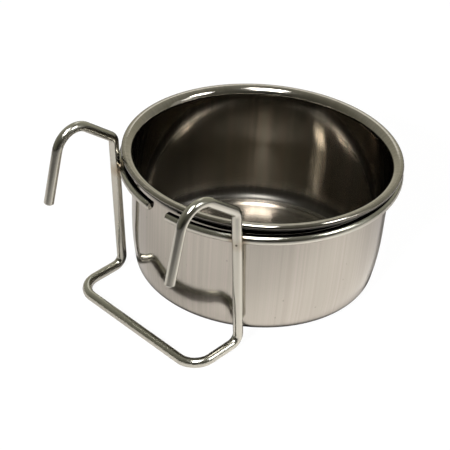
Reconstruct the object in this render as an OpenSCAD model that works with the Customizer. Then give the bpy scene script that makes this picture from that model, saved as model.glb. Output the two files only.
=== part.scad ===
// Coop cup for seed or water. A drawn sheet cup with a rolled rim drops into a split wire ring.
// The ring is welded to a one-piece wire hanger with two hooks, two legs and a stand-off crossbar.
// The cup stands level, as it does when it hangs from cage bars. The origin is the centre of its base,
// +Z is up, and the hanger is on the -Y side. The crossbar hangs a little below the base.

/* [Cup] */
// Outside diameter over the rolled rim
rim_d = 100; // [80:0.5:130]
// Height from the base to the top of the rim
cup_h = 48.2; // [42:0.1:60]
// Thickness of the drawn sheet
sheet_t = 0.6; // [0.4:0.05:0.9]
// Diameter of the curled edge in cross-section
curl_d = 2.3; // [1.8:0.1:2.8]
// How far the wall's outside face, right under the flare, stands in from the rim's outside
rim_overhang = 3.8; // [3.6:0.05:4.2]
// How much the upper wall closes in on its way down to the break, at the radius
upper_taper = 0.55; // [0.2:0.05:1.5]
// How much the lower wall closes in from the break to the base corner, at the radius
lower_taper = 1.6; // [1:0.1:4]
// Height of the break between the upper and the lower wall
break_h = 19.5; // [14:0.5:28]
// Outside radius of the corner between wall and base
base_corner_r = 4.3; // [2:0.1:6]
// Depth of the shallow step that sets the flat base disc below the corner
base_step = 0.4; // [0.2:0.05:0.8]
// Width of the flat ring between the corner and the base disc
base_ring_w = 2.2; // [1:0.1:4]

/* [Wire] */
// Diameter of the wire that the ring and the hanger are bent from
wire_d = 3.5; // [2.5:0.1:4.5]
// Width of the small chamfer on each cut wire end
end_chamfer = 0.5; // [0.2:0.05:0.8]

/* [Ring] */
// How far the hanger pulls the ring off the cup's axis, which is all of the ring's play round the wall
ring_play = 0.55; // [0.3:0.05:1.2]
// Length of the split in the middle between the legs, along the wire
split_l = 8; // [3:0.5:14]
// Tilt of the ring against the rim, in degrees, lower on the hanger's side
ring_tilt = 1.1; // [0:0.1:2]

/* [Hanger] */
// Distance between the middles of the two legs
leg_spacing = 60.8; // [50:0.2:66]
// Lean of the legs away from the cup at the top, in degrees
leg_lean = 5.6; // [4.5:0.1:9]
// Length of a leg above its weld, up to the corner with the arm
leg_above_weld = 12.5; // [10:0.5:30]
// Reach of the stand-off shelf from the legs to the crossbar
shelf_l = 20.6; // [16:0.2:30]
// How far the crossbar's underside lies below the cup's base
crossbar_drop = 3.7; // [0:0.1:8]
// Rise of an arm from the leg's top to the hook's apex
arm_rise = 17.4; // [12:0.2:24]
// Reach of an arm from the leg to the hook's apex
arm_reach = 20.6; // [16:0.2:28]
// Drop of a hook from its apex to its cut end
hook_drop = 30; // [22:0.5:38]
// How much further out a hook's cut end lies than its apex
hook_flare = 9; // [5:0.2:13]
// Bend radius at the hook's apex, at the middle of the wire
apex_bend_r = 8; // [6:0.5:9.5]
// Bend radius between leg and arm, at the middle of the wire
arm_bend_r = 3.5; // [3:0.5:6]
// Bend radius between leg and shelf, at the middle of the wire
foot_bend_r = 3.5; // [3:0.5:6]
// Bend radius between shelf and crossbar, at the middle of the wire
crossbar_bend_r = 7.5; // [4:0.5:9]
// How much thinner the wire is in a bend, where it is stretched
bend_thin = 0.04; // [0.02:0.01:0.1]

/* [Joints] */
// How deep a leg is pressed into the ring by the resistance weld
weld_sink = 0.7; // [0.4:0.05:0.9]
// Radius of the weld's fused rim around the crossing
weld_r = 1.9; // [1.4:0.1:2.2]
// Gap between the curled edge and the ring where they come closest
seat_clear = 0.3; // [0.2:0.05:0.5]
// Gap between the cup's wall and the ring where they come closest
wall_clear = 0.3; // [0.2:0.05:0.5]

/* [Hidden] */
$fn = 64;
// Facets round a wire, and along the ring
wire_facets = 48;
ring_facets = 300;
steel = "#a9a79c";
wire_steel = "#b4b0a2";
weld_steel = "#8f8b80";

// Cup: radii at the outside of the sheet
curl_r = curl_d / 2;
rim_r = rim_d / 2;
curl_mid_r = rim_r - curl_r;
curl_mid_z = cup_h - curl_r;
wall_top_r = rim_r - rim_overhang;
flare_r = curl_mid_r - wall_top_r + sheet_t;
flare_z = cup_h - flare_r;
wall_break_r = wall_top_r - upper_taper;
wall_foot_r = wall_break_r - lower_taper;
corner_mid_r = wall_foot_r - base_corner_r;
corner_mid_z = base_step + base_corner_r;
disc_r = corner_mid_r - base_ring_w;

// Ring: the cup drops through it with the play and the clearance on each side
wire_r = wire_d / 2;
ring_r = wall_top_r + wall_clear + ring_play + wire_r;
split_angle = split_l / ring_r * 180 / PI;

// The legs touch the ring's outside, pressed in by the weld, so the chord that their middles lie on
// gives the distance from the ring's centre to the plane of the legs
weld_reach = ring_r + wire_d - weld_sink;
leg_x = leg_spacing / 2;
leg_run = sqrt(weld_reach * weld_reach - leg_x * leg_x);

// Height of the ring's centre: its far side, the highest, comes to seat_clear below the curled edge
seat_gap = wire_r + curl_r + seat_clear;
seat_offset = ring_r * cos(ring_tilt) - ring_play - curl_mid_r;
ring_z = curl_mid_z - sqrt(seat_gap * seat_gap - seat_offset * seat_offset) - ring_r * sin(ring_tilt);

// Place of the hanger's foot corners
foot_z = wire_r + shelf_l * sin(leg_lean) - crossbar_drop;
weld_z = ring_z - leg_run * sin(ring_tilt);
weld_h = (weld_z - foot_z) / cos(leg_lean);
foot_y = -ring_play - leg_run * cos(ring_tilt) + weld_h * sin(leg_lean);
leg_l = weld_h + leg_above_weld;

// How far a bend or a cut end reaches into the straight run beside it, so that the wire is one solid
join_overlap = 0.2;

// Bent wire
// Angle between two straight runs that meet at point b
function bend_angle(a, b, c) = acos((a - b) * (c - b) / (norm(a - b) * norm(c - b)));
// Distance from a corner to where its bend begins
function bend_setback(a, b, c, r) = r / tan(bend_angle(a, b, c) / 2);
function unit(v) = v / norm(v);
// Rigid frame with its X axis along x_dir and its Z axis along z_dir, at a place
function frame_at(x_dir, z_dir, place) =
    let (y_dir = cross(z_dir, x_dir))
    [[x_dir.x, y_dir.x, z_dir.x, place.x],
     [x_dir.y, y_dir.y, z_dir.y, place.y],
     [x_dir.z, y_dir.z, z_dir.z, place.z],
     [0, 0, 0, 1]];
// Any direction square to v
function square_to(v) = unit(cross(v, abs(v.z) < norm(v) / 2 ? [0, 0, 1] : [1, 0, 0]));

// One straight run of wire from a to b
module wire_run(a, b) {
    along = unit(b - a);
    multmatrix(frame_at(square_to(along), along, a)) cylinder(h = norm(b - a), d = wire_d);
}

// One bend of wire at corner b, between the runs to a and to c, with radius r
module wire_bend(a, b, c, r) {
    to_a = unit(a - b);
    to_c = unit(c - b);
    half = bend_angle(a, b, c) / 2;
    middle = b + unit(to_a + to_c) * r / sin(half);
    start = b + to_a * bend_setback(a, b, c, r);
    out = unit(start - middle);
    axis = unit(cross(out, -to_a));
    lead = join_overlap / r * 180 / PI;
    multmatrix(frame_at(out, axis, middle)) rotate([0, 0, -lead])
        rotate_extrude(angle = 180 - 2 * half + 2 * lead) translate([r, 0]) circle(d = wire_d - bend_thin);
}

// A wire end cut square, with a small chamfer: at a, pointing away from b
module wire_end(a, b) {
    along = unit(a - b);
    multmatrix(frame_at(square_to(along), along, a - along * join_overlap))
        cylinder(h = end_chamfer + join_overlap, r1 = wire_r - bend_thin / 2, r2 = wire_r - end_chamfer);
}

// A wire bent through points, with one radius for each corner between the ends
module bent_wire(points, radii) {
    last = len(points) - 1;
    for (i = [0 : last - 1]) {
        back_in = i == 0 ? 0 : bend_setback(points[i - 1], points[i], points[i + 1], radii[i - 1]);
        back_out = i == last - 1 ? 0 : bend_setback(points[i], points[i + 1], points[i + 2], radii[i]);
        along = unit(points[i + 1] - points[i]);
        wire_run(points[i] + along * back_in, points[i + 1] - along * back_out);
    }
    for (i = [1 : last - 1]) wire_bend(points[i - 1], points[i], points[i + 1], radii[i - 1]);
    wire_end(points[0], points[1]);
    wire_end(points[last], points[last - 1]);
}

// Cup
// Outside half-section of the cup below the flare, grown inwards by the amount in
module cup_section(in) {
    corner = base_corner_r - in;
    low = base_step + in;
    union() {
        polygon([
            [0, in], [disc_r, in], [disc_r, low], [corner_mid_r, low],
            [corner_mid_r, corner_mid_z], [wall_foot_r - in, corner_mid_z],
            [wall_break_r - in, break_h], [wall_top_r - in, flare_z], [0, flare_z]
        ]);
        intersection() {
            translate([corner_mid_r, corner_mid_z]) circle(r = corner);
            translate([corner_mid_r, low]) square([corner, corner]);
        }
    }
}

// Half-section of the sheet between the wall's top and the curled edge
module flare_section() {
    centre_r = wall_top_r - sheet_t + flare_r;
    intersection() {
        translate([centre_r, flare_z]) difference() {
            circle(r = flare_r);
            circle(r = flare_r - sheet_t);
        }
        translate([centre_r - flare_r, flare_z]) square([flare_r, flare_r]);
    }
}

// Half-section of the curled edge: three quarters of a tube, open towards the flare
module curl_section() {
    translate([curl_mid_r, curl_mid_z]) difference() {
        circle(r = curl_r);
        circle(r = curl_r - sheet_t);
        translate([-curl_d, 0]) square([curl_d, curl_d]);
    }
}

module cup() {
    color(steel) rotate_extrude() {
        difference() {
            cup_section(0);
            difference() {
                cup_section(sheet_t);
                square([disc_r - sheet_t, sheet_t]);
            }
            translate([0, flare_z - sheet_t]) square([wall_top_r - sheet_t, sheet_t]);
        }
        flare_section();
        curl_section();
    }
}

// Ring, in the frame of its own plane
module ring_wire() {
    rotate([0, 0, split_angle / 2 - 90]) rotate_extrude(angle = 360 - split_angle, $fn = ring_facets)
        translate([ring_r, 0]) circle(d = wire_d, $fn = wire_facets);
}

// The hanger's frame: X across, Y away from the legs towards the cup, Z up along the legs
module place_hanger() {
    translate([0, foot_y, foot_z]) rotate([leg_lean, 0, 0]) children();
}

module place_ring() {
    translate([0, -ring_play, ring_z]) rotate([ring_tilt, 0, 0]) children();
}

module leg_wires() {
    for (side = [-1, 1]) wire_run([side * leg_x, 0, 0], [side * leg_x, 0, leg_l]);
}

module ring() {
    color(wire_steel) difference() {
        place_ring() ring_wire();
        place_hanger() leg_wires();
    }
}

// Corner points of one half of the hanger, from the hook's cut end to the crossbar
function hanger_half(side) = [
    [side * leg_x, -arm_reach - hook_flare, leg_l + arm_rise - hook_drop],
    [side * leg_x, -arm_reach, leg_l + arm_rise],
    [side * leg_x, 0, leg_l],
    [side * leg_x, 0, 0],
    [side * leg_x, -shelf_l, 0]
];

module hanger() {
    left = hanger_half(-1);
    right = hanger_half(1);
    points = concat(left, [for (i = [len(right) - 1 : -1 : 0]) right[i]]);
    half_radii = [apex_bend_r, arm_bend_r, foot_bend_r, crossbar_bend_r];
    radii = concat(half_radii, [for (i = [len(half_radii) - 1 : -1 : 0]) half_radii[i]]);
    color(wire_steel) place_hanger() bent_wire(points, radii);
}

// Fused rim of a resistance weld, around the crossing of the ring and one leg
module weld(side) {
    contact_share = (ring_r + wire_r - weld_sink / 2) / weld_reach;
    color(weld_steel) difference() {
        place_ring() translate([side * leg_x, -leg_run, 0] * contact_share) sphere(r = weld_r);
        place_ring() ring_wire();
        place_hanger() leg_wires();
    }
}

module left_weld() { weld(-1); }
module right_weld() { weld(1); }

cup();
ring();
hanger();
left_weld();
right_weld();
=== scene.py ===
from math import acos, atan, atan2, cos, pi, radians, sin, sqrt, tan

import bpy
import numpy as np
from mathutils import Matrix, Vector


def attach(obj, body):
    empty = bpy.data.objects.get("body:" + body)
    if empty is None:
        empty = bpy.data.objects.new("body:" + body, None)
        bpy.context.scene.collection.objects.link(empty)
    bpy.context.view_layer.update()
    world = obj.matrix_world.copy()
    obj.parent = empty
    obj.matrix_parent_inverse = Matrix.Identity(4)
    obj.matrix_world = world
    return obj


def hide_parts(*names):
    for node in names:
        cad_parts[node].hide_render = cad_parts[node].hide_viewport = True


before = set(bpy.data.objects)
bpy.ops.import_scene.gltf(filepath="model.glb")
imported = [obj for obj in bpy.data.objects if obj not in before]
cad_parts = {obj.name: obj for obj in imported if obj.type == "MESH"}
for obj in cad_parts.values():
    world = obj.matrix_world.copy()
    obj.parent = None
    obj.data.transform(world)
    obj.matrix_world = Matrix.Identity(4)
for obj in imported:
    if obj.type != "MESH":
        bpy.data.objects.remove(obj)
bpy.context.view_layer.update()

# Camera
# The photograph looks down on the cup from the front right, through a long lens held slightly askew.
# Lengths are millimetres times mm, which makes them Blender's metres. The sensor and the lens are in plain
# millimetres, as Blender has them.
mm = 0.001
view_azimuth = radians(43.7)
view_elevation = radians(33.28)
view_roll = radians(3.97)
view_distance = 520.8 * mm
view_centre_right = -10.66 * mm
view_centre_up = 13.25 * mm
sensor_width = 36
lens_length = 112

# Level directions along the table, from the cup toward the camera and to the camera's right
level_near = Vector((sin(view_azimuth), -cos(view_azimuth), 0))
level_right = Vector((cos(view_azimuth), sin(view_azimuth), 0))
toward_camera = level_near * cos(view_elevation) + Vector((0, 0, sin(view_elevation)))
level_up = toward_camera.cross(level_right)
view_right = level_right * cos(view_roll) + level_up * sin(view_roll)
view_up = level_up * cos(view_roll) - level_right * sin(view_roll)

camera_data = bpy.data.cameras.new("camera")
camera_data.sensor_width = sensor_width
camera_data.lens = lens_length
camera_data.clip_start = 10 * mm
camera = bpy.data.objects.new("camera", camera_data)
bpy.context.scene.collection.objects.link(camera)
camera_turn = Matrix((view_right, view_up, toward_camera)).transposed()
camera_place = toward_camera * view_distance + view_right * view_centre_right + view_up * view_centre_up
camera.matrix_world = Matrix.Translation(camera_place) @ camera_turn.to_4x4()
bpy.context.scene.camera = camera

# Cup
# A bowl for seed or water, deep drawn from one disc of 0.6 mm stainless sheet. The die leaves fine upright
# lines in the wall, the polishing mop leaves rings on the base, and the edge is rolled over into a bead.
sheet_t = 0.6 * mm
rim_r = 50 * mm
cup_h = 48.2 * mm
curl_r = 1.15 * mm
# How far the wall's outside stands in from the rim's outside
rim_overhang = 3.8 * mm
# How much the wall draws in above the break, and below it
upper_taper = 0.55 * mm
lower_taper = 1.6 * mm
break_h = 19.5 * mm
# The lower wall swells softly up to this height, and its round bend fills this share of that height
swell_top = 20.5 * mm
swell_share = 0.97
base_corner_r = 4.3 * mm
# The base's disc lies this much lower than the ring round it, past a soft step
base_step = 0.4 * mm
base_step_w = 1.6 * mm
base_step_r = 5 * mm
base_ring_w = 2.2 * mm
# How finely the surface is drawn
run_step = 2 * mm
cup_bend_step = radians(3)
flare_points = 19
curl_points = 41
cup_columns = 256
sharp_turn = radians(35)

wall_in_r = rim_r - rim_overhang - sheet_t
curl_mid_r = rim_r - curl_r
curl_mid_z = cup_h - curl_r
flare_r = curl_mid_r - wall_in_r
flare_z = cup_h - flare_r
foot_z = base_step + base_corner_r
foot_in_r = wall_in_r - upper_taper - lower_taper
ring_top_z = base_step + sheet_t
disc_r = foot_in_r + sheet_t - base_corner_r - base_ring_w
upper_slope = upper_taper / (flare_z - break_h)
swell_z = (swell_top + foot_z) / 2
swell_in_r = wall_in_r - (flare_z - swell_z) * upper_slope
foot_slope = (swell_in_r - foot_in_r) / (swell_z - foot_z)
swell_turn = atan(foot_slope) - atan(upper_slope)
swell_r = (swell_top - foot_z) / 2 / tan(swell_turn / 2) * swell_share


def straight(a, b, spacing):
    """Evenly spaced points from a to b: a + (b - a) * t, with t from 0 to 1."""
    steps = max(1, int(np.linalg.norm(b - a) / spacing))
    return a + (b - a) * np.linspace(0, 1, steps + 1)[:, None]


def rounded_path(corners, radii, spacing, arc_step):
    """Points of a path with straight runs and round bends.

    At each inner corner the bend is the circle of the given radius that touches both runs: it begins
    radius / tan(half the corner's angle) before the corner, and its middle is on the corner's bisector.
    """
    corners = np.asarray(corners, float)
    runs = []
    start = corners[0]
    for before, corner, after, radius in zip(corners, corners[1:], corners[2:], radii):
        to_before = (before - corner) / np.linalg.norm(before - corner)
        to_after = (after - corner) / np.linalg.norm(after - corner)
        half = acos(np.clip(to_before @ to_after, -1, 1)) / 2
        first = corner + to_before * radius / tan(half)
        bisector = (to_before + to_after) / np.linalg.norm(to_before + to_after)
        middle = corner + bisector * radius / sin(half)
        out = (first - middle) / radius
        turned = pi - 2 * half
        angle = np.linspace(0, turned, max(3, int(turned / arc_step) + 2))[:, None]
        bend = middle + radius * (np.cos(angle) * out - np.sin(angle) * to_before)
        runs += [straight(start, first, spacing)[:-1], bend[:-1]]
        start = bend[-1]
    runs.append(straight(start, corners[-1], spacing))
    return np.vstack(runs)


def arc(middle, radius, start, end, count):
    """Points of a round stretch: middle + radius * (cos t, sin t), with t between two angles."""
    t = np.linspace(start, end, count)
    return np.column_stack((middle[0] + radius * np.cos(t), middle[1] + radius * np.sin(t)))


def side_normal(line):
    """Unit normals to the right of a line in a plane: its own direction (a, b) turned to (b, -a)."""
    along = np.gradient(line, axis=0)
    along /= np.linalg.norm(along, axis=1)[:, None]
    return np.column_stack((along[:, 1], -along[:, 0]))


def distance_along(line):
    """Length of a line from its start to each of its points: the running sum of the steps between them."""
    return np.concatenate(([0], np.cumsum(np.linalg.norm(np.diff(line, axis=0), axis=1))))


def closed_tube(name, grid, ends, length, end_length):
    """Smooth mesh object from a grid of loops, closed at each end by a fan of triangles to one point.

    Row i of the grid is one loop, and length[i] is its distance along the piece. Column j stands at the
    share j / columns of a turn, and the last column joins the first. A face corner's UV is (the distance
    along in metres, the share of a turn), so that a pattern can follow the surface.
    """
    rows, columns = grid.shape[:2]
    points = np.vstack((grid.reshape(-1, 3), ends))
    i, j = np.meshgrid(np.arange(rows - 1), np.arange(columns), indexing="ij")
    k = (j + 1) % columns
    quads = np.stack((i * columns + j, i * columns + k, (i + 1) * columns + k, (i + 1) * columns + j), -1)
    here = np.arange(columns)
    after = (here + 1) % columns
    last_row = (rows - 1) * columns
    start_fan = np.column_stack((after, here, np.full(columns, rows * columns)))
    end_fan = np.column_stack((last_row + here, last_row + after, np.full(columns, rows * columns + 1)))
    faces = quads.reshape(-1, 4).tolist() + start_fan.tolist() + end_fan.tolist()

    step = 1 / columns
    quad_v, fan_v = j * step, here * step
    along = np.concatenate((
        np.stack((length[i], length[i], length[i + 1], length[i + 1]), -1).ravel(),
        np.tile((length[0], length[0], end_length[0]), columns),
        np.tile((length[-1], length[-1], end_length[1]), columns)))
    around = np.concatenate((
        np.stack((quad_v, quad_v + step, quad_v + step, quad_v), -1).ravel(),
        np.column_stack((fan_v + step, fan_v, fan_v + step / 2)).ravel(),
        np.column_stack((fan_v, fan_v + step, fan_v + step / 2)).ravel()))

    mesh = bpy.data.meshes.new(name)
    mesh.from_pydata(points.tolist(), [], faces)
    layer = mesh.uv_layers.new(name="UVMap")
    layer.data.foreach_set("uv", np.column_stack((along, around)).astype(np.float32).ravel())
    mesh.polygons.foreach_set("use_smooth", np.ones(len(faces), bool))
    mesh.set_sharp_from_angle(angle=sharp_turn)
    mesh.update()
    piece = bpy.data.objects.new(name, mesh)
    bpy.context.scene.collection.objects.link(piece)
    return piece


def lathe(name, section, columns):
    """Surface of revolution of a closed half-section that begins and ends on the axis.

    A point is (r(s) cos t, r(s) sin t, z(s)), with s along the section and t round the axis. The two
    ends are single points.
    """
    t = np.arange(columns) / columns * 2 * pi
    r, z = section[1:-1, :1], section[1:-1, 1:]
    grid = np.stack((r * np.cos(t), r * np.sin(t), z * np.ones(columns)), -1)
    ends = ((0, 0, section[0, 1]), (0, 0, section[-1, 1]))
    length = distance_along(section)
    return closed_tube(name, grid, ends, length[1:-1], (0, length[-1]))


corner_r = swell_in_r - (swell_z - ring_top_z) * foot_slope
inside_corners = [
    (0, sheet_t), (disc_r, sheet_t), (disc_r + base_step_w, ring_top_z),
    (corner_r, ring_top_z), (swell_in_r, swell_z), (wall_in_r, flare_z)]
inside_radii = [base_step_r, base_step_r, base_corner_r - sheet_t, swell_r]
inside = rounded_path(inside_corners, inside_radii, run_step, cup_bend_step)
flare = arc((curl_mid_r, flare_z), flare_r, pi, pi / 2, flare_points)
curl = arc((curl_mid_r, curl_mid_z), curl_r, pi / 2, -pi, curl_points)
top_side = np.vstack((inside, flare[1:], curl[1:]))
under_side = top_side + side_normal(top_side) * sheet_t
# The disc's underside ends exactly on the axis, at the level that the cup stands on
under_side[0] = (0, 0)
section = np.vstack((top_side, under_side[::-1]))
cup = lathe("cup_shell", section, cup_columns)


def add(tree, kind, inputs=(), links=(), **settings):
    """Adds a node of one kind, with its settings, the values of its inputs and the links into it.

    Inputs and links name a socket, or number it: a Mix node's numbers 2 and 3 mix by the share at 0, and
    so do its colours 6 and 7, to output 2.
    """
    made = tree.nodes.new(kind)
    for name, value in settings.items():
        setattr(made, name, value)
    for socket, value in dict(inputs).items():
        made.inputs[socket].default_value = value
    for socket, source in dict(links).items():
        tree.links.new(source, made.inputs[socket])
    return made


def set_stops(ramp, stops):
    """Spreads (position, colour) stops over a ramp, whose own two take the first and the last."""
    elements = ramp.color_ramp.elements
    elements[0].position, elements[0].color = stops[0]
    elements[1].position, elements[1].color = stops[-1]
    for position, colour in stops[1:-1]:
        elements.new(position).color = colour


def linear(hex_colour):
    """Turns an sRGB hex colour to linear light: c / 12.92 if dark, else ((c + 0.055) / 1.055) ** 2.4."""
    c = np.array([int(hex_colour[i:i + 2], 16) for i in (1, 3, 5)]) / 255
    return (*np.where(c <= 0.04045, c / 12.92, ((c + 0.055) / 1.055) ** 2.4).tolist(), 1)


def new_material(name):
    """An empty node material and its tree."""
    material = bpy.data.materials.new(name)
    material.use_nodes = True
    material.node_tree.nodes.clear()
    return material, material.node_tree


# The real finish: 18/8 sheet, mirror bright from the press in the wall, with upright draw lines and faint
# heat tints, satin in the corner and on the base where the mop only turns, burnished on the rolled edge.
cup_steel, tree = new_material("deep_drawn_stainless_sheet")
uv = add(tree, "ShaderNodeUVMap", uv_map="UVMap")
tangent = add(tree, "ShaderNodeTangent", direction_type="UV_MAP", uv_map="UVMap")
along_section = add(tree, "ShaderNodeSeparateXYZ", {}, {0: uv.outputs[0]}).outputs["X"]
place = add(tree, "ShaderNodeTexCoord").outputs["Object"]
flat = add(tree, "ShaderNodeVectorMath", {1: (1, 1, 0)}, {0: place}, operation="MULTIPLY")
spoke = add(tree, "ShaderNodeVectorMath", {}, {0: flat.outputs[0]}, operation="NORMALIZE").outputs[0]
radius = add(tree, "ShaderNodeVectorMath", {}, {0: flat.outputs[0]}, operation="LENGTH").outputs["Value"]

# Distances along the section, which runs out over the base, up inside, round the bead and back down outside.
# The painted shade under the bead begins this many radians above the bead's widest line.
painted_shade_above = 0.3
reach = distance_along(section)
base_l = disc_r + base_step_w
wall_l = reach[len(inside) - 1]
corner_l = wall_l - (flare_z - foot_z)
corner_start_l = corner_l - (base_corner_r - sheet_t) * (pi / 2 - atan(foot_slope))
bead_l = reach[len(inside) + len(flare) - 2]
under_bead_l = bead_l + curl_r * (pi / 2 - painted_shade_above)
wall_back_l = reach[-len(inside)]
section_l = reach[-1]
zones = add(tree, "ShaderNodeMapRange", {"From Max": section_l}, {"Value": along_section})

# Roughness along the section: satin on the base and in the corner, brighter with each step up the wall,
# burnished on the bead, dull under it, where shade is painted into the colour too, and bright on the outside
base_satin = 0.24
corner_satin = 0.3
low_wall_shine = 0.1
mid_wall_shine = 0.08
top_wall_shine = 0.07
bead_shine = 0.12
under_bead_dull = 0.4
outside_shine = 0.1
roughness_along = (
    (0, base_satin), (corner_start_l, base_satin),
    (corner_start_l + 1 * mm, corner_satin), (corner_l, corner_satin),
    (corner_l + 5 * mm, low_wall_shine), (corner_l + 12 * mm, mid_wall_shine), (wall_l, top_wall_shine),
    (wall_l + 2 * mm, bead_shine), (under_bead_l, bead_shine),
    (under_bead_l + 0.5 * mm, under_bead_dull), (wall_back_l, under_bead_dull),
    (wall_back_l + 2 * mm, outside_shine), (section_l, outside_shine))
finish = add(tree, "ShaderNodeValToRGB", {}, {"Fac": zones.outputs[0]})
set_stops(finish, [(spot / section_l, (rough, rough, rough, 1)) for spot, rough in roughness_along])

# Painted shade: the share of the steel's brightness left in the corner of the base, and under the bead and
# on the wall just below it
painted_shade_along = (
    (0, 1), (corner_start_l, 1), (corner_start_l + 1 * mm, 0.18), (corner_l, 0.22), (corner_l + 2 * mm, 1),
    (under_bead_l, 1), (under_bead_l + 0.3 * mm, 0.03), (wall_back_l + 2 * mm, 0.03),
    (wall_back_l + 3 * mm, 1), (section_l, 1))
painted_shade = add(tree, "ShaderNodeValToRGB", {}, {"Fac": zones.outputs[0]})
set_stops(painted_shade, [(spot / section_l, (share, share, share, 1)) for spot, share in painted_shade_along])

# Real draw lines and mop rings lie about 0.1 mm apart. Both are drawn ten times as coarse, so that they
# show, and a few micrometres deep: the bump's strength is its share of mark_depth. Noise on the spoke, a
# vector that is 1 long, has a scale of the wall's radius over the width of a line.
draw_line_w = 1.086 * mm
mop_ring_w = 0.91 * mm
ring_fade = 3 * mm
mark_depth = 0.2 * mm
# Noise runs from 0 to 1, and nearly all of it lies between these two
noise_low, noise_high = 0.3, 0.7
draw_lines = add(tree, "ShaderNodeTexNoise",
                 {"Scale": wall_in_r / draw_line_w, "Detail": 3, "Roughness": 0.65}, {"Vector": spoke})
mop_rings = add(tree, "ShaderNodeTexNoise", {"Scale": 1 / mop_ring_w, "Detail": 2}, {"W": radius},
                noise_dimensions="1D")
on_base = add(tree, "ShaderNodeMapRange", {"From Min": base_l, "From Max": base_l - ring_fade},
              {"Value": along_section})
marks = add(tree, "ShaderNodeMix", {},
            {0: on_base.outputs[0], 2: draw_lines.outputs["Fac"], 3: mop_rings.outputs["Fac"]})
bump = add(tree, "ShaderNodeBump", {"Strength": 0.022, "Distance": mark_depth},
           {"Height": marks.outputs[0]})
tint = add(tree, "ShaderNodeValToRGB", {}, {"Fac": marks.outputs[0]})
set_stops(tint, ((0.35, linear("#ada8a0")), (0.5, linear("#b2aea5")), (0.65, linear("#b9b2ab"))))

# Wear: cloth-rubbed patches as wide as a finger, which shift the roughness a little
rub_patch_w = 16.7 * mm
rub = add(tree, "ShaderNodeTexNoise", {"Scale": 1 / rub_patch_w, "Detail": 4}, {"Vector": place})
rub_share = add(tree, "ShaderNodeMapRange",
                {"From Min": noise_low, "From Max": noise_high, "To Min": -0.02, "To Max": 0.03},
                {"Value": rub.outputs["Fac"]})
roughness = add(tree, "ShaderNodeMath", {}, {0: finish.outputs[0], 1: rub_share.outputs[0]},
                operation="ADD")

# Faint straw and grey heat tints in upright streaks, on the inside of the wall alone
heat_streak_w = 5.07 * mm
streaks = add(tree, "ShaderNodeTexNoise",
              {"Scale": wall_in_r / heat_streak_w, "Detail": 5, "Roughness": 0.7}, {"Vector": spoke})
heat = add(tree, "ShaderNodeValToRGB", {}, {"Fac": streaks.outputs["Fac"]})
set_stops(heat, ((0.36, linear("#d2d1cd")), (0.46, linear("#f6eeeb")),
                 (0.52, linear("#dadbd8")), (0.64, linear("#fffdfa"))))
inside_wall = add(tree, "ShaderNodeMath", {1: (corner_l + wall_l) / 2, 2: (wall_l - corner_l) / 2},
                  {0: along_section}, operation="COMPARE")
inner_heat = add(tree, "ShaderNodeMix", {6: (1, 1, 1, 1)}, {0: inside_wall.outputs[0], 7: heat.outputs[0]},
                 data_type="RGBA")
tinted = add(tree, "ShaderNodeVectorMath", {}, {0: tint.outputs[0], 1: inner_heat.outputs[2]},
             operation="MULTIPLY")

# Pits from handling, a few millimetres apart. Real ones are smaller than these, and wouldn't show.
pit_gap = 4.76 * mm
pit_core_r = 0.143 * mm
pit_edge_r = 0.333 * mm
pits = add(tree, "ShaderNodeTexVoronoi", {"Scale": 1 / pit_gap}, {"Vector": place})
pit = add(tree, "ShaderNodeMapRange",
          {"From Min": pit_core_r / pit_gap, "From Max": pit_edge_r / pit_gap, "To Min": 0.55, "To Max": 1},
          {"Value": pits.outputs["Distance"]})
pitted = add(tree, "ShaderNodeVectorMath", {}, {0: tinted.outputs[0], 1: pit.outputs[0]},
             operation="MULTIPLY")
# Painted shade darkens the colour in the corner of the base and under the bead
with_painted_shade = add(tree, "ShaderNodeVectorMath", {}, {0: pitted.outputs[0], 1: painted_shade.outputs[0]},
             operation="MULTIPLY")
shader = add(tree, "ShaderNodeBsdfPrincipled", {"Metallic": 1, "Anisotropic": 0.5},
             {"Base Color": with_painted_shade.outputs[0], "Roughness": roughness.outputs[0],
              "Tangent": tangent.outputs[0], "Normal": bump.outputs[0]})
add(tree, "ShaderNodeOutputMaterial", {}, {"Surface": shader.outputs[0]})
cup.data.materials.append(cup_steel)
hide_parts("cup")
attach(cup, "cup")

# Ring
# One turn of 3.5 mm stainless wire, sprung round the cup under its bead. Its ends stop short of each other
# between the legs, cut square with a small chamfer.
wire_d = 3.5 * mm
wire_r = wire_d / 2
wall_clear = 0.3 * mm
ring_play = 0.55 * mm
seat_clear = 0.3 * mm
split_l = 8 * mm
ring_tilt = radians(1.1)
end_chamfer = 0.5 * mm
wire_sides = 32
ring_points = 241
ring_r = rim_r - rim_overhang + wall_clear + ring_play + wire_r
seat_gap = wire_r + curl_r + seat_clear
seat_offset = ring_r * cos(ring_tilt) - ring_play - curl_mid_r
ring_z = curl_mid_z - sqrt(seat_gap ** 2 - seat_offset ** 2) - ring_r * sin(ring_tilt)


def sweep_wire(name, path, radius, aside):
    """Round wire along a path, closed at its ends by a chamfer and a flat face.

    A point is path(s) + radius(s) * (cos t * across(s) + sin t * square(s)), where across is square to
    the wire and to the fixed direction aside, which the wire never follows, and square is square to both.
    """
    along = np.gradient(path, axis=0)
    along /= np.linalg.norm(along, axis=1)[:, None]
    across = np.cross(along, aside)
    across /= np.linalg.norm(across, axis=1)[:, None]
    square = np.cross(along, across)
    t = (np.arange(wire_sides) / wire_sides * 2 * pi)[:, None]
    out = np.cos(t) * across[:, None] + np.sin(t) * square[:, None]
    grid = path[:, None] + radius[:, None, None] * out
    length = distance_along(path)
    return closed_tube(name, grid, (path[0], path[-1]), length, (-radius[0], length[-1] + radius[-1]))


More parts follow.
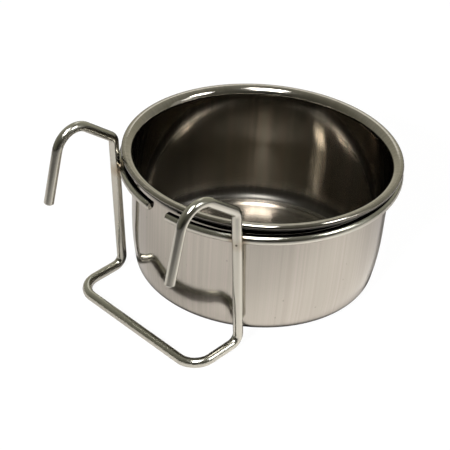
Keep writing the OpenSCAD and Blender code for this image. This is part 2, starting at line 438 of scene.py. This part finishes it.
def chamfered(path, beyond):
    """A wire's path and radius with a chamfer at each end, which reaches the length beyond past the path."""
    first, last = path[1] - path[0], path[-1] - path[-2]
    first, last = first / np.linalg.norm(first), last / np.linalg.norm(last)
    within = end_chamfer - beyond
    full = np.vstack((path[0] - first * beyond, path[0] + first * within, path[1:-1],
                      path[-1] - last * within, path[-1] + last * beyond))
    radius = np.full(len(full), wire_r)
    radius[[0, -1]] = wire_r - end_chamfer
    return full, radius


half_split = split_l / ring_r / 2
ring_angle = np.linspace(half_split - pi / 2, 3 * pi / 2 - half_split, ring_points)
ring_flat = ring_r * np.column_stack((np.cos(ring_angle), np.sin(ring_angle), np.zeros(ring_points)))
ring_turn = np.array(Matrix.Rotation(ring_tilt, 3, "X"))
ring_path = ring_flat @ ring_turn.T + (0, -ring_play, ring_z)
ring = sweep_wire("ring_wire", *chamfered(ring_path, 0), ring_turn[:, 2])

# Each leg is pressed on the ring from outside, so a weld stands where the two wires sink into each other
leg_x = 30.4 * mm
weld_sink = 0.7 * mm
weld_reach = ring_r + wire_d - weld_sink
leg_run = sqrt(weld_reach ** 2 - leg_x ** 2)
weld_y = -ring_play - leg_run * cos(ring_tilt)
weld_z = ring_z - leg_run * sin(ring_tilt)
leg_places = [Vector((side * leg_x, weld_y, weld_z)) for side in (-1, 1)]
outward = [(leg - Vector((0, -ring_play, weld_z))).normalized() for leg in leg_places]
weld_places = [leg - out * (wire_r - weld_sink / 2) for leg, out in zip(leg_places, outward)]


def nearness(tree, place, points, near, far):
    """A value that is 1 within near of any of the points, and 0 beyond far."""
    share = None
    for point in points:
        away = add(tree, "ShaderNodeVectorMath", {1: tuple(point)}, {0: place}, operation="DISTANCE")
        here = add(tree, "ShaderNodeMapRange",
                   {"From Min": near, "From Max": far, "To Min": 1, "To Max": 0},
                   {"Value": away.outputs["Value"]}, interpolation_type="SMOOTHSTEP").outputs[0]
        if share is None:
            share = here
        else:
            share = add(tree, "ShaderNodeMath", {}, {0: share, 1: here}, operation="MAXIMUM").outputs[0]
    return share


def wire_finish(name, painted_seat_shade, welds, dents):
    """Drawn wire: die lines along it, a patchy shine from handling, straw tints at its welds, and dark spots
    at its dents, partly the mark and partly painted shade of the dent.

    When its second argument is set, shade is painted dark on the side that faces in and up, under the bead,
    where V runs from 0.35 to 0.8.
    """
    steel, tree = new_material(name)
    uv = add(tree, "ShaderNodeUVMap", uv_map="UVMap")
    tangent = add(tree, "ShaderNodeTangent", direction_type="UV_MAP", uv_map="UVMap")
    place = add(tree, "ShaderNodeTexCoord").outputs["Object"]
    around = add(tree, "ShaderNodeSeparateXYZ", {}, {0: uv.outputs[0]}).outputs["Y"]

    # Real die lines are hair fine and as long as the wire. They are drawn wider and shorter, to show.
    die_line_l, die_line_w = 27.8 * mm, 0.262 * mm
    stretch = add(tree, "ShaderNodeMapping", {"Scale": (1 / die_line_l, pi * wire_d / die_line_w, 1)},
                  {"Vector": uv.outputs[0]})
    die_lines = add(tree, "ShaderNodeTexNoise", {"Scale": 1, "Detail": 4, "Roughness": 0.7},
                    {"Vector": stretch.outputs[0]})
    bump = add(tree, "ShaderNodeBump", {"Strength": 0.025, "Distance": mark_depth},
               {"Height": die_lines.outputs["Fac"]})

    clean, seat_shade_colour = linear("#c2c0b6"), linear("#2b2926")
    straw, dent_mark_and_shade = linear("#a09380"), linear("#45413a")
    shade = add(tree, "ShaderNodeValToRGB", {}, {"Fac": around})
    # Painted shade on the seat, the side under the bead
    painted_shade = ((0.3, clean), (0.35, seat_shade_colour), (0.8, seat_shade_colour), (0.83, clean)) if painted_seat_shade else ()
    set_stops(shade, ((0, clean), *painted_shade, (1, clean)))
    heated = nearness(tree, place, welds, near=1.5 * mm, far=4.5 * mm)
    colour = add(tree, "ShaderNodeMix", {7: straw}, {0: heated, 6: shade.outputs[0]},
                 data_type="RGBA").outputs[2]
    # Dents are dark spots: partly the electrode's mark, partly painted shade of the dent
    if dents:
        dented = nearness(tree, place, dents, near=0.2 * mm, far=0.55 * mm)
        colour = add(tree, "ShaderNodeMix", {7: dent_mark_and_shade}, {0: dented, 6: colour}, data_type="RGBA").outputs[2]

    # Wear: patches as wide as a fingertip, from handling and from the bars
    handling_patch_w = 11.1 * mm
    handling = add(tree, "ShaderNodeTexNoise", {"Scale": 1 / handling_patch_w, "Detail": 4},
                   {"Vector": place})
    roughness = add(tree, "ShaderNodeMapRange",
                    {"From Min": noise_low, "From Max": noise_high, "To Min": 0.15, "To Max": 0.26},
                    {"Value": handling.outputs["Fac"]})
    shader = add(tree, "ShaderNodeBsdfPrincipled",
                 {"Metallic": 1, "Anisotropic": 0.4, "Anisotropic Rotation": 0.25},
                 {"Base Color": colour, "Roughness": roughness.outputs[0],
                  "Tangent": tangent.outputs[0], "Normal": bump.outputs[0]})
    add(tree, "ShaderNodeOutputMaterial", {}, {"Surface": shader.outputs[0]})
    return steel


# The real finish: drawn 18/8 wire, silky bright. Shade is painted dark on the seat, the side under the bead.
ring.data.materials.append(wire_finish("ring_wire_with_painted_shade_in_the_seat", True, weld_places, []))
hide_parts("ring")
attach(ring, "hanger")

# Hanger
# One length of the same wire, bent cold: two hooks for the cage bars, two legs, and a crossbar that stands
# the cup off the bars. The legs are resistance welded to the ring.
leg_lean = radians(5.6)
leg_above_weld = 12.5 * mm
shelf_l = 20.6 * mm
crossbar_drop = 3.7 * mm
arm_rise = 17.4 * mm
arm_reach = 20.6 * mm
hook_drop = 30 * mm
hook_flare = 9 * mm
# Bends in turn: over the hook, from arm to leg, from leg to shelf, and from shelf to crossbar
bend_radii = np.array((8, 3.5, 3.5, 7.5)) * mm
wire_bend_step = radians(6)
hanger_z = wire_r + shelf_l * sin(leg_lean) - crossbar_drop
weld_h = (weld_z - hanger_z) / cos(leg_lean)
hanger_y = weld_y + weld_h * sin(leg_lean)
leg_l = weld_h + leg_above_weld

right_half = np.array((
    (leg_x, -arm_reach - hook_flare, leg_l + arm_rise - hook_drop),
    (leg_x, -arm_reach, leg_l + arm_rise),
    (leg_x, 0, leg_l),
    (leg_x, 0, 0),
    (leg_x, -shelf_l, 0)))
hanger_corners = np.vstack((right_half * (-1, 1, 1), right_half[::-1]))
hanger_radii = np.concatenate((bend_radii, bend_radii[::-1]))
hanger_turn = np.array(Matrix.Rotation(leg_lean, 3, "X"))
hanger_path = rounded_path(hanger_corners @ hanger_turn.T + (0, hanger_y, hanger_z), hanger_radii,
                           run_step, wire_bend_step)
hanger = sweep_wire("hanger_wire", *chamfered(hanger_path, end_chamfer), (1, 0, 1))

# The welder's electrode leaves a dent outside each weld, and two more further down the left leg. The dents
# aren't modelled: each is a dark spot, partly the mark itself and partly painted shade of the dent.
left_dent_drops = (20 * mm, 27 * mm)
down_leg = Vector((0, sin(leg_lean), -cos(leg_lean)))
dents = [leg + out * wire_r for leg, out in zip(leg_places, outward)]
dents += [dents[0] + down_leg * drop for drop in left_dent_drops]
# The real finish: the same drawn wire, silky bright all round
hanger.data.materials.append(wire_finish("bright_drawn_stainless_wire", False, weld_places, dents))
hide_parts("hanger")
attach(hanger, "hanger")

# Welds
# Where each leg was pressed on the ring and a current melted the two together. The nugget is left as it
# cooled: dull, dimpled, and straw to brown from the heat. The dimples are drawn about three times too wide.
dimple_w = 1.11 * mm
dimple_depth = 0.1 * mm
nugget, tree = new_material("resistance_weld_nugget")
place = add(tree, "ShaderNodeTexCoord").outputs["Object"]
dimples = add(tree, "ShaderNodeTexNoise", {"Scale": 1 / dimple_w, "Detail": 3}, {"Vector": place})
colour = add(tree, "ShaderNodeValToRGB", {}, {"Fac": dimples.outputs["Fac"]})
set_stops(colour, ((noise_low, linear("#5e5040")), (noise_high, linear("#8d8272"))))
roughness = add(tree, "ShaderNodeMapRange", {"To Min": 0.3, "To Max": 0.55},
                {"Value": dimples.outputs["Fac"]})
bump = add(tree, "ShaderNodeBump", {"Strength": 0.3, "Distance": dimple_depth},
           {"Height": dimples.outputs["Fac"]})
shader = add(tree, "ShaderNodeBsdfPrincipled", {"Metallic": 1},
             {"Base Color": colour.outputs[0], "Roughness": roughness.outputs[0], "Normal": bump.outputs[0]})
add(tree, "ShaderNodeOutputMaterial", {}, {"Surface": shader.outputs[0]})
for name in ("left_weld", "right_weld"):
    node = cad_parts[name]
    node.data.materials.clear()
    node.data.materials.append(nugget)

# Floor
# A sheet of white acrylic under the cup. The cup is upright, and the crossbar hangs a little lower than its
# base, so the sheet falls from the edge of the base to the crossbar. To the camera it is plain white.
floor_reach = 3000 * mm
floor_pivot_y = disc_r
floor_tilt = atan2(crossbar_drop, floor_pivot_y - (hanger_y - shelf_l * cos(leg_lean)))
mesh = bpy.data.meshes.new("floor")
floor_corners = np.array(((-1, -1, 0), (1, -1, 0), (1, 1, 0), (-1, 1, 0))) * floor_reach
tilt = np.array(Matrix.Rotation(floor_tilt, 3, "X"))
mesh.from_pydata((floor_corners @ tilt.T + (0, floor_pivot_y, 0)).tolist(), [], [(0, 1, 2, 3)])
floor = bpy.data.objects.new("floor", mesh)
bpy.context.scene.collection.objects.link(floor)

# What the steel mirrors and what lights it is a card on that sheet: bright in a pool at the front right,
# fading out over the table, a little darker toward the camera and dark where the base keeps the light off.
white, tree = new_material("white_acrylic")
place = add(tree, "ShaderNodeTexCoord").outputs["Object"]
pool_right = 45 * mm
pool_near = 40 * mm
pool_middle = level_right * pool_right + level_near * pool_near
pool_squash = 1.6
from_middle = add(tree, "ShaderNodeVectorMath", {1: tuple(pool_middle)}, {0: place}, operation="SUBTRACT")
to_right = add(tree, "ShaderNodeVectorMath", {1: tuple(level_right)}, {0: from_middle.outputs[0]},
               operation="DOT_PRODUCT").outputs["Value"]
to_camera = add(tree, "ShaderNodeVectorMath", {1: tuple(level_near)}, {0: from_middle.outputs[0]},
                operation="DOT_PRODUCT").outputs["Value"]
squashed = add(tree, "ShaderNodeMath", {1: pool_squash}, {0: to_camera}, operation="MULTIPLY")
oval = add(tree, "ShaderNodeCombineXYZ", {}, {"X": to_right, "Y": squashed.outputs[0]})
from_pool = add(tree, "ShaderNodeVectorMath", {}, {0: oval.outputs[0]}, operation="LENGTH").outputs["Value"]
from_axis = add(tree, "ShaderNodeVectorMath", {}, {0: place}, operation="LENGTH").outputs["Value"]

# Each fade: where it starts and ends, its white at the start and the end, and what it is measured from
fades = {
    "table": (230 * mm, 400 * mm, 0.58, 0.12, from_pool),
    "pool": (20 * mm, 95 * mm, 0.25, 0.0, from_pool),
    "foot": (41 * mm, 49 * mm, 0.05, 1.0, from_axis),
    "near": (45 * mm, 110 * mm, 1.0, 0.45, to_camera)}
fade = {
    name: add(tree, "ShaderNodeMapRange",
              {"From Min": start, "From Max": end, "To Min": first, "To Max": last},
              {"Value": measure}, interpolation_type="SMOOTHSTEP").outputs[0]
    for name, (start, end, first, last, measure) in fades.items()}
lit = add(tree, "ShaderNodeMath", {}, {0: fade["table"], 1: fade["pool"]}, operation="ADD")
shaded = add(tree, "ShaderNodeMath", {}, {0: fade["near"], 1: fade["foot"]}, operation="MULTIPLY")
white_share = add(tree, "ShaderNodeMath", {}, {0: lit.outputs[0], 1: shaded.outputs[0]},
                  operation="MULTIPLY")
paper = add(tree, "ShaderNodeVectorMath", {1: linear("#faf5f1")[:3]}, {0: white_share.outputs[0]},
            operation="MULTIPLY")
card = add(tree, "ShaderNodeBsdfDiffuse", {}, {"Color": paper.outputs[0]})
shown = add(tree, "ShaderNodeBsdfPrincipled", {
    "Base Color": linear("#383838"), "Roughness": 0.6, "Specular IOR Level": 0.1,
    "Emission Color": (1, 1, 1, 1), "Emission Strength": 0.97})
ray = add(tree, "ShaderNodeLightPath")
seen = add(tree, "ShaderNodeMixShader", {},
           {0: ray.outputs["Is Camera Ray"], 1: card.outputs[0], 2: shown.outputs[0]})
add(tree, "ShaderNodeOutputMaterial", {}, {"Surface": seen.outputs[0]})
mesh.materials.append(white)

# Light
# A light tent: lamps and windows that the steel mirrors, two soft lamps that only light the table, and a
# warm grey room, dark behind the camera and bright behind the cup.
lamp_distance = 1000 * mm


def softbox(name, bearing, elevation, width, height, radiance, lights):
    """A flat lamp aimed at the cup, which either the steel mirrors or the table gets its light from.

    Its bearing in degrees is from the camera's line, to the right. Its power is radiance * pi * area, so
    the same radiance looks as bright in the steel at any size.
    """
    data = bpy.data.lights.new(name, "AREA")
    data.shape = "RECTANGLE"
    data.size, data.size_y = width, height
    data.energy = radiance * pi * width * height
    lamp = bpy.data.objects.new(name, data)
    level = level_near * cos(radians(bearing)) + level_right * sin(radians(bearing))
    out = level * cos(radians(elevation)) + Vector((0, 0, sin(radians(elevation))))
    lamp_turn = out.to_track_quat("Z", "Y").to_matrix().to_4x4()
    lamp.matrix_world = Matrix.Translation(out * lamp_distance) @ lamp_turn
    lamp.visible_camera = False
    lamp.visible_glossy = lights == "steel"
    lamp.visible_diffuse = lights == "table"
    bpy.context.scene.collection.objects.link(lamp)


softbox("lamp_over_camera", -2, 67, 310 * mm, 500 * mm, 16, "steel")
softbox("lamp_at_right", 69, 44, 240 * mm, 200 * mm, 16, "steel")
softbox("small_lamp_at_right", 76, 27, 140 * mm, 70 * mm, 5, "steel")
softbox("window_at_right", 76, 20, 500 * mm, 600 * mm, 0.25, "steel")
softbox("window_behind", 180, 44, 260 * mm, 360 * mm, 0.8, "steel")
softbox("key_on_table", -28, 30, 180 * mm, 160 * mm, 230, "table")
softbox("fill_on_table", 75, 50, 300 * mm, 300 * mm, 13, "table")

world = bpy.data.worlds.new("studio")
bpy.context.scene.world = world
world.use_nodes = True
tree = world.node_tree
tree.nodes.clear()
direction = add(tree, "ShaderNodeTexCoord").outputs["Generated"]
far = add(tree, "ShaderNodeVectorMath", {1: tuple(-level_near)}, {0: direction}, operation="DOT_PRODUCT")
share = add(tree, "ShaderNodeMapRange", {"From Min": -1, "From Max": 1}, {"Value": far.outputs["Value"]})
room_colours = (
    (0, "#1c1b18"), (0.03, "#33322c"), (0.08, "#504f46"), (0.3, "#65645a"), (0.5, "#7b7a6d"),
    (0.7, "#96958a"), (0.9, "#a9a797"), (0.965, "#c2bfae"), (1, "#e4e2d2"))
room_colour = add(tree, "ShaderNodeValToRGB", {}, {"Fac": share.outputs[0]})
set_stops(room_colour, [(position, linear(colour)) for position, colour in room_colours])
# The table gets only a fifth of the room's light, and the camera sees plain white behind the cup
room_on_table = 0.2
ray = add(tree, "ShaderNodeLightPath")
dim = add(tree, "ShaderNodeMapRange", {"To Min": 1, "To Max": room_on_table},
          {"Value": ray.outputs["Is Diffuse Ray"]})
room = add(tree, "ShaderNodeBackground", {}, {"Color": room_colour.outputs[0], "Strength": dim.outputs[0]})
backdrop = add(tree, "ShaderNodeBackground", {"Strength": 1, "Color": (1, 1, 1, 1)})
surroundings = add(tree, "ShaderNodeMixShader", {},
                   {0: ray.outputs["Is Camera Ray"], 1: room.outputs[0], 2: backdrop.outputs[0]})
add(tree, "ShaderNodeOutputWorld", {}, {"Surface": surroundings.outputs[0]})
bpy.context.scene.view_settings.view_transform = "Standard"
